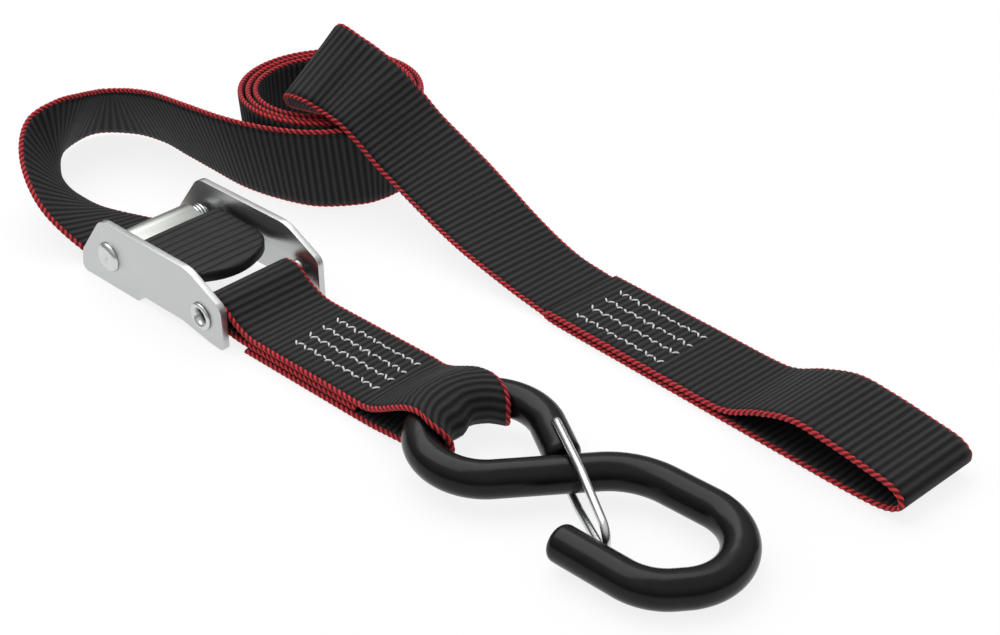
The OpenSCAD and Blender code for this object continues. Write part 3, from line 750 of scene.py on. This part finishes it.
LEVER_DROP = 3
SHEET_T = 1.8
SIDE_GAP = 0.5
HUB_L = BUCKLE_W - 2 * SHEET_T - 2 * SIDE_GAP
PAD_BOTTOM = 3.2
PAD_TOP = 6.5
PAD_START = 7.5
PAD_REACH = 32
PAD_INSET = 0.5
PAD_W = HUB_L - 2 * PAD_INSET
PAD_NOSE = 9.0
PAD_RIB_PITCH = 2.4


def on_lever(points):
    """Points in the lever's own frame, X along it from the cam's rivet."""
    moved = np.asarray(points, float) @ turned(1, LEVER_DROP).T
    return in_buckle(moved + np.array([CAM_AT[0], SHEET_T + SIDE_GAP, CAM_AT[2]]))


def pad_rows():
    """Cross-sections of the pad, each a closed ring with rounded top edges; its front droops a little."""
    rings = []
    tip = PAD_REACH - 0.8 * np.linspace(1, 0.02, 12) ** 2
    for x in np.concatenate([np.arange(PAD_START, PAD_REACH - 0.8, 0.15), tip]):
        past = max(0.0, x - (PAD_REACH - PAD_NOSE)) / PAD_NOSE
        half = PAD_W / 2 * math.sqrt(max(1e-4, 1 - past ** 2))
        rim = min(1.3, half * 0.45)
        front = max(0.0, (x - PAD_REACH + 1.5) / 1.5)
        droop = 0.9 * max(0.0, (x - PAD_START) / (PAD_REACH - PAD_START) - 0.45) ** 1.5
        end_drop = 0.8 * (1 - math.sqrt(max(0.0, 1 - front ** 2))) + 0.5 * max(0.0, PAD_START + 0.7 - x) ** 2
        wave = math.cos(2 * math.pi * (x - PAD_START) / PAD_RIB_PITCH)
        groove = 0.34 * max(0.0, wave) ** 1.3 if x < PAD_REACH - 1.8 else 0.0
        y = np.concatenate([np.linspace(-half, rim - half, 6), np.linspace(rim - half, half - rim, 15)[1:-1],
                            np.linspace(half - rim, half, 6)])
        edge = np.clip((half - np.abs(y)) / rim, 0, 1)
        crown = 0.15 * (1 - (y / (PAD_W / 2)) ** 2) - 0.15
        top = PAD_TOP + crown - end_drop - droop - 0.7 * (1 - np.sqrt(1 - (1 - edge) ** 2)) - groove * edge ** 0.5
        upper = np.stack([np.full(len(y), x), PAD_INSET + PAD_W / 2 + y, top], axis=1)
        lower = np.array([[x, PAD_INSET + PAD_W / 2 + share * half, PAD_BOTTOM + 0.25 - 0.25 * (abs(share) < 1)]
                          for share in (1, 0.9, -0.9, -1)])
        rings.append(np.concatenate([upper, lower]))
    return np.array(rings)


pad_rings = pad_rows()
grip = outward(new_object("thumb_grip", on_lever(pad_rings.reshape(-1, 3)),
                          loft_faces(len(pad_rings), pad_rings.shape[1])))
finished(grip, "cam", "pad_plastic", pad_charcoal, "thumb_pad")

# ---- Cam spring ----


SPRING_L = 4.2
SPRING_MARGIN = 0.7
COIL_R = 3.2
COIL_TURNS = 3
SPRING_WIRE_R = 0.4


def spring_path():
    """Middle line of the torsion spring: a short leg, the coil, and a leg down to the frame's base."""
    start = HUB_L - SPRING_L + SPRING_MARGIN
    rise = SPRING_L - 2 * SPRING_MARGIN
    a = np.radians(np.linspace(180, 180 + COIL_TURNS * 360, COIL_TURNS * 36 + 1))
    coil = np.stack([COIL_R * np.cos(a), start + rise * np.linspace(0, 1, len(a)), COIL_R * np.sin(a)], axis=1)
    leg = smooth_curve([[-COIL_R, start + rise, 0], [-3.3, start + rise, -2], [-3.9, start + rise, -4],
                        [-4.4, start + rise, -5.3]], 6)
    return np.concatenate([[[-3.0, start, 1.6]], coil, leg[1:]])


spring = swept("cam_coil", on_lever(spring_path()), SPRING_WIRE_R, 12, V_AXIS + 0.01 * UP)
finished(spring, "cam", "spring_wire", steel_wire, "cam_spring")

# ---- Hook and keeper ----

nodes["s_hook"].data.materials.clear()
nodes["s_hook"].data.materials.append(hook_steel)

END_TURN, END_L = 9, 10.7
TIP_TURN, TIP_L = 47, 15.6
SHANK_L = 22.1
SHOULDER_R, SHOULDER_TURN, SHOULDER_L = 19, 46, 10.6
BOWL_R, BOTTOM_L = 13.2, 2.4
CAP_H = 1.1
COAT_EDGE = 2.0


def heading(degrees):
    """Unit vector in the hook's plane."""
    return np.array([math.cos(math.radians(degrees)), math.sin(math.radians(degrees)), 0.0])


def arc_points(centre, r, start, end, step=2.5):
    return [centre + r * heading(a) for a in np.linspace(start, end, int(abs(end - start) / step) + 2)]


def hook_path():
    """The rod's middle line from the eye's end round the eye, along the shank, the bowl and the tip."""
    eye = np.array([0.0, EYE_R, 0.0])
    leaves = eye + EYE_R * heading(END_TURN)
    shoulder = np.array([SHANK_L, -SHOULDER_R, 0.0])
    shoulder_leaves = shoulder + SHOULDER_R * heading(90 - SHOULDER_TURN)
    bowl = shoulder_leaves + SHOULDER_L * heading(-SHOULDER_TURN) + BOWL_R * heading(-90 - SHOULDER_TURN)
    corner = bowl - np.array([BOTTOM_L, 0, 0])
    corner_leaves = corner + BOWL_R * heading(-90 - TIP_TURN)
    ends = np.concatenate([COAT_EDGE * (1 - np.cos(np.linspace(0, math.pi / 2, 9))), [3.0, 4.5, 6.0, 7.5, 9.0]])
    start = [leaves + (END_L + CAP_H - d) * heading(END_TURN - 90) for d in ends]
    finish = [corner_leaves + (TIP_L + CAP_H - d) * heading(180 - TIP_TURN) for d in ends[::-1]]
    line = np.array(start + arc_points(eye, EYE_R, END_TURN, 270)
                    + [np.array([x, 0, 0]) for x in (4.0, 8.0, 12.0, 16.0, 19.0)]
                    + arc_points(shoulder, SHOULDER_R, 90, 90 - SHOULDER_TURN)
                    + arc_points(bowl, BOWL_R, 90 - SHOULDER_TURN, -90)
                    + arc_points(corner, BOWL_R, -90, -90 - TIP_TURN) + finish)
    radii = np.full(len(line), COAT_R)
    rim = COAT_R - COAT_EDGE + np.sqrt(np.maximum(0, COAT_EDGE ** 2 - np.maximum(0, COAT_EDGE - ends) ** 2))
    radii[:len(ends)], radii[-len(ends):] = rim, rim[::-1]
    return line, radii


GATE_AT = np.array([14.2, 13.8, 0])
GATE_TURN = -80.5
GATE_REACH = 36
PIN_OFFSET = 2.1
PIN_DEPTH = 1.0
WIRE_R = 0.95
LEG_Z = COAT_R + WIRE_R + 0.275
BOW_R = 3.6
BOW_AT = GATE_REACH - BOW_R
STRAIGHT_TO = 19.5
BEND_R = 1.4


def bend_points(a, p, b, radius, steps=8):
    """Round corner of a bent wire, in its own plane."""
    a, p, b = (np.asarray(q, float) for q in (a, p, b))
    u, v = unit(a - p), unit(b - p)
    half = math.acos(float(np.clip(u @ v, -1, 1))) / 2
    back = radius / math.tan(half)
    centre = p + unit(u + v) * radius / math.sin(half)
    start, end = p + u * back - centre, p + v * back - centre
    span = math.pi - 2 * half
    t = np.linspace(0, 1, steps + 1)[:, None]
    return centre + (np.sin((1 - t) * span) * start + np.sin(t * span) * end) / math.sin(span)


def gate_half(pin_x):
    """Half of the keeper's wire in its own plane, from its pin in the rod to the middle of its bow."""
    pin, knee, waist, bow = [pin_x, -PIN_DEPTH], [pin_x, LEG_Z], [STRAIGHT_TO, LEG_Z], [BOW_AT, BOW_R]
    arc = np.radians(np.arange(90, 9, -10))
    bow_points = np.stack([BOW_AT + BOW_R * np.cos(arc), BOW_R * np.sin(arc)], axis=1)
    return np.concatenate([[pin], bend_points(pin, knee, waist, BEND_R),
                           bend_points(knee, waist, bow, 3 * BEND_R), bow_points])


def gate_path():
    """The whole bent wire: both pins, both legs and the bow between them."""
    upper, lower = gate_half(PIN_OFFSET), gate_half(-PIN_OFFSET)
    line = [[p[0], 0, p[1]] for p in upper] + [[GATE_REACH, 0, 0]] + [[p[0], 0, -p[1]] for p in lower[::-1]]
    return in_hook(np.array(line) @ turned(2, GATE_TURN).T + GATE_AT)


hook_line, hook_radii = hook_path()
hook_normal = HOOK_ROTATION @ UP
hook_vinyl = swept("hook_vinyl", in_hook(hook_line), hook_radii, 40, hook_normal)
finished(hook_vinyl, "hook", "vinyl", vinyl_black, "hook_coating")
gate_side = HOOK_ROTATION @ turned(2, GATE_TURN) @ np.array([0.0, 1.0, 0.0])
keeper = swept("keeper_wire", gate_path(), WIRE_R, 20, gate_side)
finished(keeper, "keeper", "spring_wire", steel_wire, "keeper_gate")

# ---- Floor, lights and colour ----


def make_floor():
    """Pale floor just below the webbing, faintly mottled."""
    sh = Shader("floor_white", Roughness=0.8, Specular_IOR_Level=0.05, Emission_Color=(1, 1, 1, 1),
                Emission_Strength=0.84)
    grain = sh.noise(sh.place(), 12.0, 2.0)
    sh.join("Base Color", sh.ramp(grain, [(0.2, (0.13, 0.13, 0.13)), (0.8, (0.15, 0.15, 0.15))]))
    bpy.ops.mesh.primitive_plane_add(size=12, location=(0, 0, -0.0002))
    floor = bpy.context.object
    floor.name = "floor"
    floor.data.materials.append(sh.material)


def soft_light(name, at, size, watts):
    """Rectangular softbox that faces the middle of the scene."""
    data = bpy.data.lights.new(name, "AREA")
    data.shape = "RECTANGLE"
    data.size, data.size_y = size
    data.energy = watts
    lamp = bpy.data.objects.new(name, data)
    lamp.location = at
    lamp.rotation_euler = (-Vector(at)).to_track_quat("-Z", "Y").to_euler()
    bpy.context.scene.collection.objects.link(lamp)


def make_light():
    """Bright overhead tent that darkens towards the horizon, with one broad softbox."""
    world = bpy.data.worlds.new("studio")
    world.use_nodes = True
    tree = world.node_tree
    place = tree.nodes.new("ShaderNodeTexCoord")
    parts = tree.nodes.new("ShaderNodeSeparateXYZ")
    ramp = tree.nodes.new("ShaderNodeValToRGB")
    tree.links.new(place.outputs["Generated"], parts.inputs[0])
    tree.links.new(parts.outputs["Z"], ramp.inputs["Fac"])
    tree.links.new(ramp.outputs["Color"], tree.nodes["Background"].inputs["Color"])
    for element, (position, grey) in zip(ramp.color_ramp.elements, ((0.05, 0.10), (0.75, 1.0))):
        element.position = position
        element.color = (grey, grey, grey, 1)
    tree.nodes["Background"].inputs["Strength"].default_value = 0.8
    bpy.context.scene.world = world
    soft_light("key", (-0.25, 0.3, 0.9), (1.2, 0.9), 7.5)
    bpy.context.scene.view_settings.view_transform = "Standard"


make_floor()
make_light()
